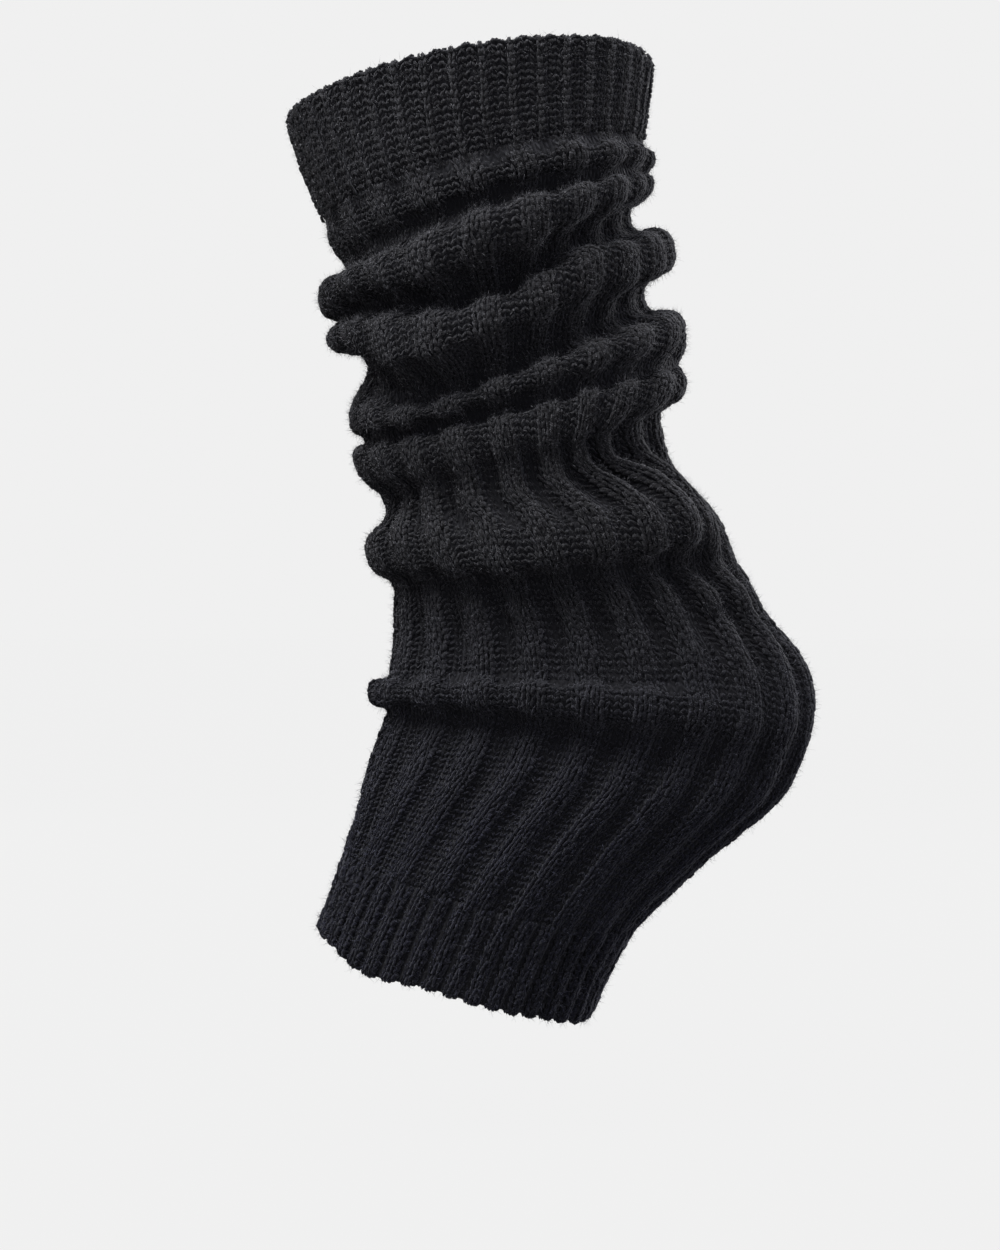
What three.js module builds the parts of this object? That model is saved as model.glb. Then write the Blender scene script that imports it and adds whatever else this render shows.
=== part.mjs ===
// One slouched leg warmer in chunky rib knit, in the pose it has when it is worn over a calf, a raised heel
// and an instep. Three knitted pieces make the tube: a fine-ribbed calf cuff, a wide-ribbed body and a
// fine-ribbed foot cuff. Millimetres. +Z is up, -X is the front of the leg (shin and instep), +X is its
// back (calf and heel), and -Y is the near side. The origin is the middle of the calf cuff, where the leg
// holds the garment up.
//
// The tube is one surface. "Sections" give the plain sleeve as tilted oval rings. "Lines" are the crests
// and the valleys of its folds, from the top rim to the foot rim: each says how far down the sleeve it runs
// and how far it stands out, at the back, the near side, the front and the far side. Swells are single
// dents and bulges. Every wall is that surface with a plain inside, and with its ribs raised on the
// outside.
import * as THREE from "three";

// Driving dimensions of the knit
const BODY_RIBS = 20;
const CUFF_RIBS = 2 * BODY_RIBS;
const WALL = 2.2; // from the foot of the ribs to the plain inside
const BODY_RELIEF = 1.3;
const CUFF_RELIEF = 1.1;
const SEAM_GAP = 0.4; // along the sleeve, where two pieces meet
const HEM_ROUND = 0.9; // how far a hem's rounded edge stands past its last course
const SCALLOP = 1.3; // how far the calf rim dips at each rib
const INNER_POINTS = 40; // round the plain inside of every piece

// Rings of the plain sleeve. Front and back are where the ring meets the middle plane, depth is its full
// width from the near side to the far side, and rise is how far those two sides stand above the line from
// front to back.
const SECTIONS = [
  { at: "calf rim", frontX: -55.5, frontZ: 1.8, backX: 53.4, backZ: 17.1, depth: 106, rise: 1.2 },
  { at: "calf cuff foot", frontX: -48, frontZ: -20.4, backX: 50.4, backZ: -6, depth: 98, rise: 0 },
  { at: "over the first roll", frontX: -38.4, frontZ: -41.4, backX: 48.9, backZ: -15.6, depth: 92, rise: 0 },
  { at: "under the first roll", frontX: -35.4, frontZ: -56.4, backX: 47.4, backZ: -26.4, depth: 90, rise: 0 },
  { at: "under the second roll", frontX: -32.4, frontZ: -71.4, backX: 50.1, backZ: -54, depth: 86, rise: 0 },
  { at: "twin rolls", frontX: -31.2, frontZ: -93, backX: 53.1, backZ: -72, depth: 84, rise: 0 },
  { at: "under the twin rolls", frontX: -25.5, frontZ: -113.4, backX: 55.2, backZ: -90, depth: 80, rise: 0 },
  { at: "heel hollow", frontX: -24.6, frontZ: -120.6, backX: 57.9, backZ: -104.1, depth: 79, rise: 0 },
  { at: "ankle bag", frontX: -23.7, frontZ: -127.8, backX: 70.5, backZ: -118.5, depth: 78, rise: 0 },
  { at: "under ankle bag", frontX: -22.2, frontZ: -140.4, backX: 79.5, backZ: -134.4, depth: 76, rise: 0 },
  { at: "over the heel", frontX: -22.8, frontZ: -157.5, backX: 94.8, backZ: -156.6, depth: 74, rise: 0 },
  { at: "heel", frontX: -25.2, frontZ: -175.5, backX: 101.4, backZ: -176.4, depth: 73, rise: 0 },
  { at: "under the heel", frontX: -28.6, frontZ: -190.5, backX: 93.3, backZ: -199.5, depth: 74, rise: 0 },
  { at: "sole of the heel", frontX: -33, frontZ: -205.5, backX: 69.3, backZ: -221.4, depth: 75, rise: 0 },
  { at: "foot cuff head", frontX: -37.5, frontZ: -219.6, backX: 48, backZ: -243, depth: 77, rise: -2 },
  { at: "foot rim", frontX: -45.6, frontZ: -241.5, backX: 35.1, backZ: -268.2, depth: 77, rise: -4.5 },
];

// How far down the sleeve each ring lies, along the middle of the tube.
const stations = [0];
for (let i = 1; i < SECTIONS.length; i++) {
  const [a, b] = [SECTIONS[i - 1], SECTIONS[i]];
  const dx = (b.frontX + b.backX - a.frontX - a.backX) / 2;
  const dz = (b.frontZ + b.backZ - a.frontZ - a.backZ) / 2;
  stations.push(stations[i - 1] + Math.hypot(dx, dz));
}
const stationOf = (name) => stations[SECTIONS.findIndex((section) => section.at === name)];

// A line that runs round the sleeve at a ring, with no fold. Its near and far sides may stand higher.
function levelLine(line, section, rows, dip = 0) {
  const down = stationOf(section);
  return { line, rows, down: [down, down - dip, down, down - dip], out: [0, 0, 0, 0] };
}

const FOOT_RIM_DIP = 2; // how much higher the foot rim's near and far sides stand

// Crests and valleys. Down is measured along the middle of the sleeve from the calf rim, and out from the
// sleeve, each at the back, the near side, the front and the far side. Rows is how many rows of points the
// wall has from the line above.
const LINES = [
  { line: "calf rim", rows: 0,             down: [-1, -0.7, 2.5, 0],         out: [0, 0, 0, 0] },
  { line: "calf cuff foot", rows: 6,       down: [23, 27, 30, 27],           out: [0, 0, 0, 0] },
  { line: "collar roll", rows: 2,          down: [37, 34.5, 35, 36],         out: [5.6, 2.6, 1.4, 3.4] },
  { line: "over first roll", rows: 2,      down: [42, 40.7, 41, 40.5],       out: [4.8, -1, 0, 1.5] },
  { line: "first roll", rows: 3,           down: [46.5, 49, 45.5, 46.6],     out: [6.6, 12, 9.6, 10] },
  { line: "under first roll", rows: 3,     down: [54, 63.5, 54, 58],         out: [0, -4, 8.2, -2] },
  { line: "second roll", rows: 3,          down: [64.5, 68, 60.5, 64],       out: [9, 11.5, 10.8, 11.5] },
  { line: "under second roll", rows: 3,    down: [72, 89, 76.5, 80],         out: [1, -2.5, 0, -1] },
  { line: "upper twin roll", rows: 4,      down: [83.5, 94.5, 90.5, 88],     out: [11, 9.5, 4.6, 9] },
  { line: "between the twins", rows: 3,    down: [97, 99.7, 95, 95.5],       out: [10.4, 3.4, 3.6, 4] },
  { line: "lower twin roll", rows: 2,      down: [104, 104, 99.5, 101.5],    out: [10.6, 9.5, 5.8, 9] },
  { line: "under twin rolls", rows: 4,     down: [113, 121.5, 117.7, 117],   out: [0, 2, 0, 1.6] },
  { line: "ankle bag", rows: 3,            down: [135, 144, 137, 139],       out: [0.8, 8.5, 7, 8] },
  { line: "under ankle bag", rows: 3,      down: [150, 152, 153.5, 150],     out: [0, -1, 0, -0.5] },
  { line: "over instep roll", rows: 3,     down: [184, 181, 182, 181],       out: [0, 0, 0, 0] },
  { line: "instep roll", rows: 2,          down: [196, 188, 186, 188],       out: [0, 4.6, 5.4, 4.2] },
  { line: "under instep roll", rows: 2,    down: [203, 200, 195, 198],       out: [0, -2, 0, -1.5] },
  levelLine("foot cuff head", "foot cuff head", 6),
  levelLine("foot rim", "foot rim", 6, FOOT_RIM_DIP),
];

// Single bulges and dents: down the sleeve, round it in degrees (0 back, 90 near, 180 front, 270 far),
// their reach in both directions and how far they stand out, or in where that is negative.
const SWELLS = [
  { what: "knuckle of the second roll", down: 67, round: 0, long: 6, wide: 24, out: 2.5 },
  { what: "shelf over the heel", down: 133, round: 52, long: 11, wide: 24, out: 5 },
  { what: "hollow under the shelf", down: 151, round: 44, long: 5, wide: 20, out: -3 },
  { what: "knob by the heel", down: 157, round: 36, long: 5, wide: 14, out: 2 },
  { what: "hollow under the knob", down: 165, round: 38, long: 4, wide: 12, out: -2.5 },
  { what: "hollow between the rolls at the shin", down: 54, round: 148, long: 5, wide: 20, out: -5 },
  { what: "hollow by the shin", down: 115, round: 150, long: 6, wide: 16, out: -3 },
  { what: "shelf over the far heel", down: 131, round: 312, long: 10, wide: 24, out: 4 },
  { what: "hollow under the far shelf", down: 149, round: 318, long: 6, wide: 22, out: -2.5 },
];

const ROUNDING = 0.15; // share of a fold's half width by which its flanks stand steeper than a sine wave's
const STEEP = 0.75; // a fold whose rise over its half width is this much gets the whole of that rounding
const UNEVEN_HEIGHT = { share: 0.1, waves: 3, phase: 2.4 }; // along a crest, moving on from line to line
const UNEVEN_RUN = { mm: 0.8, waves: 2, phase: 1.7 }; // the same for how far down the sleeve it runs

const TURN = 2 * Math.PI;
const DEGREES = 360;
const mix = (a, b, t) => a + (b - a) * t;

// The ring of the plain sleeve at a distance down it, with every column on a smooth curve through the
// sections.
const COLUMNS = ["frontX", "frontZ", "backX", "backZ", "depth", "rise"];
function sectionAt(down) {
  const last = SECTIONS.length - 1;
  let i = 0;
  while (i < last - 1 && down > stations[i + 1]) i++;
  const step = stations[i + 1] - stations[i];
  const slope = (k, name) => {
    const [lo, hi] = [Math.max(k - 1, 0), Math.min(k + 1, last)];
    return (SECTIONS[hi][name] - SECTIONS[lo][name]) / (stations[hi] - stations[lo]);
  };
  const t = (down - stations[i]) / step;
  const [t2, t3] = [t * t, t * t * t];
  const ring = {};
  for (const name of COLUMNS)
    ring[name] = (2 * t3 - 3 * t2 + 1) * SECTIONS[i][name] + (t3 - 2 * t2 + t) * step * slope(i, name)
      + (3 * t2 - 2 * t3) * SECTIONS[i + 1][name] + (t3 - t2) * step * slope(i + 1, name);
  return ring;
}

// The angle on an oval at a share of its girth, so that the ribs are evenly wide round it.
const GIRTH_STEPS = 96;
function angleOnOval(share, width, depth) {
  const lengths = [0];
  for (let i = 0; i < GIRTH_STEPS; i++) {
    const angle = ((i + 0.5) / GIRTH_STEPS) * TURN;
    lengths.push(lengths[i] + Math.hypot(width * Math.sin(angle), depth * Math.cos(angle)));
  }
  const wanted = share * lengths[GIRTH_STEPS];
  let i = 0;
  while (i < GIRTH_STEPS - 1 && lengths[i + 1] < wanted) i++;
  return ((i + (wanted - lengths[i]) / (lengths[i + 1] - lengths[i])) / GIRTH_STEPS) * TURN;
}

// The plain sleeve's point at a share of the way round (0 back, 0.25 near, 0.5 front, 0.75 far), moved out
// by h.
function sleevePoint(share, down, h) {
  const ring = sectionAt(down);
  const width = Math.hypot(ring.backX - ring.frontX, ring.backZ - ring.frontZ);
  const across = new THREE.Vector3((ring.backX - ring.frontX) / width, 0, (ring.backZ - ring.frontZ) / width);
  const up = new THREE.Vector3(-across.z, 0, across.x);
  const angle = angleOnOval(share, width, ring.depth);
  const [c, s] = [Math.cos(angle), Math.sin(angle)];
  const outward = new THREE.Vector2(c / width, s / ring.depth).normalize();
  return new THREE.Vector3((ring.frontX + ring.backX) / 2, 0, (ring.frontZ + ring.backZ) / 2)
    .addScaledVector(across, (width / 2) * c + h * outward.x)
    .addScaledVector(up, ring.rise * s * s)
    .add(new THREE.Vector3(0, -(ring.depth / 2) * s - h * outward.y, 0));
}

// A line's value at a share of the way round: the smoothest curve through its four sides, as a tilted ring
// has.
function roundAt([back, near, front, far], share) {
  return (back + near + front + far) / 4 + ((back - front) / 2) * Math.cos(TURN * share)
    + ((near - far) / 2) * Math.sin(TURN * share)
    + ((back - near + front - far) / 4) * Math.cos(2 * TURN * share);
}

// A line's place down the sleeve and its height, both a little uneven as knitted folds are.
function lineAt(k, share) {
  const height = roundAt(LINES[k].out, share);
  const run = Math.min(height, 1) * UNEVEN_RUN.mm;
  const drift = Math.sin(UNEVEN_RUN.waves * TURN * share + UNEVEN_RUN.phase * k);
  const swing = Math.sin(UNEVEN_HEIGHT.waves * TURN * share + UNEVEN_HEIGHT.phase * k);
  const down = roundAt(LINES[k].down, share) + run * drift;
  return { down, out: height * (1 + UNEVEN_HEIGHT.share * swing) };
}

// How far the single bulges and dents stand out at a place.
function swellAt(share, down) {
  let out = 0;
  for (const swell of SWELLS) {
    const turned = TURN * (share - swell.round / DEGREES);
    const aside = (Math.atan2(Math.sin(turned), Math.cos(turned)) / TURN) * DEGREES;
    const [a, b] = [(down - swell.down) / swell.long, aside / swell.wide];
    out += swell.out * Math.exp(-a * a - b * b);
  }
  return out;
}

// The folded surface. Along counts the lines: 2.5 is half way from the third line to the fourth.
function foldedPoint(share, along) {
  const i = Math.min(Math.max(Math.floor(along), 0), LINES.length - 2);
  const t = along - i;
  const [above, below] = [lineAt(i, share), lineAt(i + 1, share)];
  const span = below.down - above.down;
  const steep = Math.min(Math.abs(below.out - above.out) / (span * STEEP), 1);
  const down = above.down + span * (t + ROUNDING * steep * Math.sin(TURN * t));
  const out = mix(above.out, below.out, (1 - Math.cos(Math.PI * t)) / 2);
  return sleevePoint(share, down, out + swellAt(share, above.down + span * t));
}

// Direction down the cloth and the outward normal, by differences.
const STEP = 1e-3;
const EASE = 0.5; // share of a fold's half width over which the cloth's slope is averaged
function frameAt(share, along) {
  const [lo, hi] = [Math.max(along - EASE, 0), Math.min(along + EASE, LINES.length - 1)];
  const downward = foldedPoint(share, hi).sub(foldedPoint(share, lo)).normalize();
  const sideways = foldedPoint(share + STEP, along).sub(foldedPoint(share - STEP, along));
  return { downward, outward: new THREE.Vector3().crossVectors(sideways, downward).normalize() };
}

// A point moved off the folded surface: h outwards, and past down the cloth.
function clothPoint(share, along, h, past = 0) {
  const { downward, outward } = frameAt(share, along);
  return foldedPoint(share, along).addScaledVector(outward, h).addScaledVector(downward, past);
}

// Where a rib's points lie across it, as a share of the rib, and how much of the relief each has.
const RIB_PROFILES = {
  wide: [
    { across: 0.04, up: 1 },
    { across: 0.46, up: 1 },
    { across: 0.57, up: 0 },
    { across: 0.93, up: 0 },
  ],
  narrowUp: [{ across: 0.167, up: 0 }, { across: 0.5, up: 1 }, { across: 0.833, up: 0 }],
  narrowDown: [{ across: 0.167, up: 1 }, { across: 0.5, up: 0 }, { across: 0.833, up: 1 }],
};

const SAME_SHARE = 1e-9; // two points this close round the tube count as level with each other

// One closed wall of the tube between two places along it. Its outer rings have the ribs and its inner
// rings don't.
function wall({ places, ribs, profile, relief, hemAbove, hemBelow, scallop }) {
  const outerRing = [];
  for (let rib = 0; rib < ribs; rib++)
    for (const point of RIB_PROFILES[profile])
      outerRing.push({ share: (rib + point.across) / ribs, up: point.up });
  const innerRing = Array.from({ length: INNER_POINTS }, (_, k) => ({ share: k / INNER_POINTS, up: 0 }));
  const positions = [];
  const index = [];
  const addRing = (ring, place) => {
    const start = positions.length / 3;
    for (const point of ring) positions.push(...place(point).toArray());
    return { start, shares: ring.map((point) => point.share) };
  };
  // Faces between two rings whose points needn't match, walking round both by their shares.
  const join = (a, b) => {
    const [na, nb] = [a.shares.length, b.shares.length];
    let [i, j] = [0, 0];
    while (i < na || j < nb) {
      const nextA = i < na ? (i + 1 < na ? a.shares[i + 1] : 1 + a.shares[0]) : Infinity;
      const nextB = j < nb ? (j + 1 < nb ? b.shares[j + 1] : 1 + b.shares[0]) : Infinity;
      const [p, q] = [a.start + (i % na), b.start + (j % nb)];
      if (j >= nb || (i < na && nextA <= nextB + SAME_SHARE)) index.push(p, a.start + (++i % na), q);
      else index.push(p, b.start + (++j % nb), q);
    }
  };
  const first = places[0];
  const last = places[places.length - 1];
  const dip = (point) => scallop * point.up;
  const outer = places.map((along) =>
    addRing(outerRing, (point) =>
      clothPoint(point.share, along, relief * point.up, along === first ? dip(point) : 0)));
  const inner = places.map((along) => addRing(innerRing, (point) => clothPoint(point.share, along, -WALL)));
  const middle = relief / 2 - WALL / 2;
  const loop = [...outer];
  const hem = (along, past) => addRing(innerRing, (point) => clothPoint(point.share, along, middle, past));
  if (hemBelow) loop.push(hem(last, HEM_ROUND));
  loop.push(...inner.reverse());
  if (hemAbove) loop.push(hem(first, -HEM_ROUND));
  loop.forEach((ring, k) => join(ring, loop[(k + 1) % loop.length]));
  const geometry = new THREE.BufferGeometry();
  geometry.setAttribute("position", new THREE.Float32BufferAttribute(positions, 3));
  geometry.setIndex(index);
  geometry.computeVertexNormals();
  return geometry;
}

// The rows between two lines, by the number that each line asks for.
function rowsBetween(from, to) {
  const places = [LINES.findIndex((l) => l.line === from)];
  for (let k = places[0] + 1; k <= LINES.findIndex((l) => l.line === to); k++)
    for (let row = 1; row <= LINES[k].rows; row++) places.push(k - 1 + row / LINES[k].rows);
  return places;
}

// Moves the first and last rows in by half of the seam's gap, where a piece meets another.
function withSeams(places, above, below) {
  const trimmed = [...places];
  const shareOf = (line) => SEAM_GAP / 2 / (LINES[line].down[0] - LINES[line - 1].down[0]);
  if (above) trimmed[0] += shareOf(places[0] + 1);
  if (below) trimmed[trimmed.length - 1] -= shareOf(places[places.length - 1]);
  return trimmed;
}

const yarn = { color: 0x17171a, roughness: 0.95, metalness: 0 };
const leg_warmer = new THREE.Group();
function add(name, geometry) {
  const piece = new THREE.Mesh(geometry, new THREE.MeshStandardMaterial({ ...yarn, name }));
  piece.name = name;
  leg_warmer.add(piece);
}

add("calf_cuff", wall({
  places: withSeams(rowsBetween("calf rim", "calf cuff foot"), false, true),
  ribs: CUFF_RIBS, profile: "narrowUp", relief: CUFF_RELIEF,
  hemAbove: true, hemBelow: false, scallop: SCALLOP,
}));
add("body", wall({
  places: withSeams(rowsBetween("calf cuff foot", "foot cuff head"), true, true),
  ribs: BODY_RIBS, profile: "wide", relief: BODY_RELIEF,
  hemAbove: false, hemBelow: false, scallop: 0,
}));
add("foot_cuff", wall({
  places: withSeams(rowsBetween("foot cuff head", "foot rim"), true, false),
  ribs: CUFF_RIBS, profile: "narrowDown", relief: CUFF_RELIEF,
  hemAbove: false, hemBelow: true, scallop: 0,
}));

export default leg_warmer;
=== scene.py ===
"""Looks of one slouched leg warmer in chunky rib knit: its stitches, ribs, rims and fuzz.

Every stitch is a pair of yarn strands laid on the folded fabric of the three knitted pieces. The fabric is
one surface, whose rings, fold lines and swells are the garment's own sizes in millimetres.
"""

import logging
import math
from dataclasses import dataclass, field
from enum import Enum

import bmesh
import bpy
import numpy as np
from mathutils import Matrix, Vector


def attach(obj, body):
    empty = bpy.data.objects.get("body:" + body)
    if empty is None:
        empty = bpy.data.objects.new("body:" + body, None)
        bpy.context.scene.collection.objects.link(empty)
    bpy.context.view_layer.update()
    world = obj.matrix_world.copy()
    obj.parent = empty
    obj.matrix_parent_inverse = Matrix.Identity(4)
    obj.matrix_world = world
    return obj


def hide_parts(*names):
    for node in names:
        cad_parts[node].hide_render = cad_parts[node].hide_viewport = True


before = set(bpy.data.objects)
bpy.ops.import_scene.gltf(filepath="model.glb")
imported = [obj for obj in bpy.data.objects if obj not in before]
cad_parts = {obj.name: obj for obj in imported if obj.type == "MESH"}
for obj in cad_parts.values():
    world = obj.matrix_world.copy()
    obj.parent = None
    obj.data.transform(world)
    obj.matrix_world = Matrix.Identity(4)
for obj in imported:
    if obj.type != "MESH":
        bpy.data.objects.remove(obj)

log = logging.getLogger("leg_warmer")

MM = 0.001
TURN = 2 * math.pi
BODY = "root"
PATTERN_WALES = 6  # one wide rib of the body, or two fine ribs of a cuff
WIDE_RIBS = 20
WALES = PATTERN_WALES * WIDE_RIBS
GRID_STEPS = 4  # points of the fabric's grid to a wale and to a course
LINE_MIDDLE = 1.5  # wales from the back to the middle of the calf cuff's first knit line
STRIP_TURNS = 1.5  # turns round a strand that its own strip has room for
MAP_MARGIN = 0.01  # free edge of a cloth's map, as a share of it
CELL_MARGIN = 0.06  # free edge of each copy's cell in a shared map, as a share of it
SAME_POINT = 1e-7  # metres within which two points are one
ON_AXIS = 1e-6  # how near a strand's axis a corner is one of its tips
LAST_ROW = 1.001  # how far from a grid's end its last place is, so that there is a next row

Array = np.ndarray
Pair = tuple[float, float]
Point = tuple[float, float, float]
Colour = tuple[float, float, float]
Material = bpy.types.Material
Node = bpy.types.Node


@dataclass(frozen=True)
class Ring:
    """One oval ring of the plain sleeve: where it meets the middle plane, its width across, and how far its
    near and far sides stand above the line from front to back, in millimetres."""

    name: str
    front_x: float
    front_z: float
    back_x: float
    back_z: float
    depth: float
    rise: float = 0.0


@dataclass(frozen=True)
class Fold:
    """One crest or valley: how far down the sleeve it runs and how far it stands out, at the back, the near
    side, the front and the far side, in millimetres."""

    name: str
    down: tuple[float, float, float, float]
    out: tuple[float, float, float, float] = (0.0, 0.0, 0.0, 0.0)


@dataclass(frozen=True)
class Sag:
    """A stretch of one fold line that hangs lower than the rest, or higher: how far round in degrees from the
    back, its reach either way, and how far it hangs and stands out, in millimetres."""

    line: str
    round: float
    wide: float
    down: float
    out: float = 0.0


@dataclass(frozen=True)
class Crease:
    """A sharp furrow along one fold line: how deep it cuts at the back, the near side, the front and the far
    side, and its half width, in millimetres."""

    line: str
    depth: tuple[float, float, float, float]
    half_width: float


@dataclass(frozen=True)
class Spot:
    """One place on the sleeve: how far down it is and how far round in degrees from the back, its reach both
    ways, and how much happens in its middle. A swell stands out so many millimetres, a pull moves the cloth
    aside so many degrees, so that its ribs curve, and a gather makes the ribs stand higher by that share."""

    name: str
    down: float
    round: float
    long: float
    wide: float
    amount: float

    def at(self, share: Array, down: Array) -> Array:
        """How much happens at places on the sleeve, fading to nothing past its reach."""
        lower, past = (down - self.down) / self.long, aside(share, self.round) / self.wide
        return self.amount * np.exp(-(lower**2) - past**2)


def aside(share: Array, degrees: float) -> Array:
    """How many degrees places round the tube lie past an angle, the shorter way."""
    return (share * 360 - degrees + 180) % 360 - 180


RINGS = (
    Ring("calf rim", -55.5, 1.8, 53.4, 17.1, 106, 1.2),
    Ring("calf cuff foot", -48, -20.4, 50.4, -6, 98),
    Ring("over the first roll", -38.4, -41.4, 48.9, -15.6, 92),
    Ring("under the first roll", -35.4, -56.4, 47.4, -26.4, 90),
    Ring("under the second roll", -32.4, -71.4, 50.1, -54, 86),
    Ring("twin rolls", -31.2, -93, 53.1, -72, 84),
    Ring("under the twin rolls", -25.5, -113.4, 55.2, -90, 80),
    Ring("heel hollow", -24.6, -120.6, 57.9, -104.1, 79),
    Ring("ankle bag", -23.7, -127.8, 70.5, -118.5, 78),
    Ring("under ankle bag", -22.2, -140.4, 79.5, -134.4, 76),
    Ring("over the heel", -22.8, -157.5, 94.8, -156.6, 74),
    Ring("heel", -25.2, -175.5, 101.4, -176.4, 73),
    Ring("under the heel", -28.6, -190.5, 93.3, -199.5, 74),
    Ring("sole of the heel", -33, -205.5, 69.3, -221.4, 75),
    Ring("foot cuff head", -37.5, -219.6, 48, -243, 77, -2),
    Ring("foot rim", -45.6, -241.5, 35.1, -268.2, 77, -4.5),
)

FOOT_RIM_DIP = 2.0

FOLDS = (
    Fold("calf rim", (-1, -0.7, 2.5, 0)),
    Fold("calf cuff foot", (23, 27, 30, 27)),
    Fold("collar roll", (37, 34.5, 35, 36), (5.6, 2.6, 1.4, 3.4)),
    Fold("over first roll", (42, 40.7, 41, 40.5), (4.8, -1, 0, 1.5)),
    Fold("first roll", (46.5, 49, 45.5, 46.6), (6.6, 12, 9.6, 10)),
    Fold("under first roll", (54, 63.5, 54, 58), (0, -4, 8.2, -2)),
    Fold("second roll", (64.5, 68, 60.5, 64), (9, 11.5, 10.8, 11.5)),
    Fold("under second roll", (72, 89, 76.5, 80), (1, -2.5, 0, -1)),
    Fold("upper twin roll", (83.5, 94.5, 90.5, 88), (11, 9.5, 4.6, 9)),
    Fold("between the twins", (97, 99.7, 95, 95.5), (10.4, 3.4, 3.6, 4)),
    Fold("lower twin roll", (104, 104, 99.5, 101.5), (10.6, 9.5, 5.8, 9)),
    Fold("under twin rolls", (113, 121.5, 117.7, 117), (0, 2, 0, 1.6)),
    Fold("ankle bag", (135, 144, 137, 139), (0.8, 8.5, 7, 8)),
    Fold("under ankle bag", (150, 152, 153.5, 150), (0, -1, 0, -0.5)),
    Fold("over instep roll", (184, 181, 182, 181)),
    Fold("instep roll", (196, 188, 186, 188), (0, 4.6, 5.4, 4.2)),
    Fold("under instep roll", (203, 200, 195, 198), (0, -2, 0, -1.5)),
)

SWELLS = (
    Spot("knuckle of the second roll", 67, 0, 6, 24, 2.5),
    Spot("belly of the second roll", 82, 118, 7, 34, 6.5),
    Spot("belly of the second roll, far side", 80, 242, 7, 34, 5),
    Spot("shelf over the heel", 135, 50, 10, 24, 6),
    Spot("hollow under the shelf", 152, 44, 5.5, 20, -6),
    Spot("flat over the heel", 166, 2, 9, 26, -4.0),
    Spot("hollow over the instep", 168, 100, 9, 90, -2.4),
    Spot("hollow over the instep, far side", 168, 270, 9, 70, -1.8),
    Spot("knob by the heel", 157, 36, 5, 14, 2),
    Spot("hollow under the knob", 165, 38, 4, 12, -2.5),
    Spot("hollow between the rolls at the shin", 54, 148, 5, 20, -5),
    Spot("hollow by the shin", 115, 150, 6, 16, -3),
    Spot("shelf over the far heel", 131, 312, 10, 24, 4),
    Spot("hollow under the far shelf", 149, 318, 6, 22, -2.5),
)


SAGS = (
    Sag("first roll", 122, 20, 2.4),
    Sag("under first roll", 108, 22, 4.2),
    Sag("under first roll", 60, 14, -4.0),
    Sag("second roll", 122, 25, 4.4),
    Sag("second roll", 58, 20, -4.0),
    Sag("under second roll", 126, 26, 4.0),
    Sag("upper twin roll", 130, 16, 1.5, 1.5),
    Sag("ankle bag", 110, 20, 3.0),
    Sag("under ankle bag", 44, 18, -2.5),
    Sag("instep roll", 110, 50, 0, 1.8),
    Sag("foot rim", 128, 20, 3.2),
    Sag("calf rim", 2, 26, 1.8),
)

CREASES = (
    Crease("over first roll", (1.5, 1.6, 0.2, 1.6), 2.6),
    Crease("under first roll", (1.0, 2.4, 4.4, 2.4), 2.8),
    Crease("under second roll", (1.0, 3.4, 2.0, 3.0), 3.6),
    Crease("between the twins", (2.5, 3.0, 2.5, 3.0), 2.6),
    Crease("under ankle bag", (0.2, 2.6, 0.3, 1.5), 4.0),
    Crease("under instep roll", (0.3, 2.6, 1.2, 2.0), 7.0),
)

PULLS = (
    Spot("drawn in over the heel", 113, 26, 13, 40, 22),
    Spot("drawn in over the far heel", 113, 334, 13, 40, -18),
)


def quarter_curve(sides: Array, share: Array) -> Array:
    """The smoothest curve round the tube through values at its back, near side, front and far side, at shares
    of the way round from the back."""
    back, near, front, far = np.moveaxis(np.asarray(sides, float), -1, 0)
    angle = TURN * share
    return (
        (back + near + front + far) / 4
        + (back - front) / 2 * np.cos(angle)
        + (near - far) / 2 * np.sin(angle)
        + (back - near + front - far) / 4 * np.cos(2 * angle)
    )


def unit(vectors: Array) -> Array:
    """The same directions, each 1 long."""
    return vectors / np.linalg.norm(vectors, axis=-1, keepdims=True)


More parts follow.
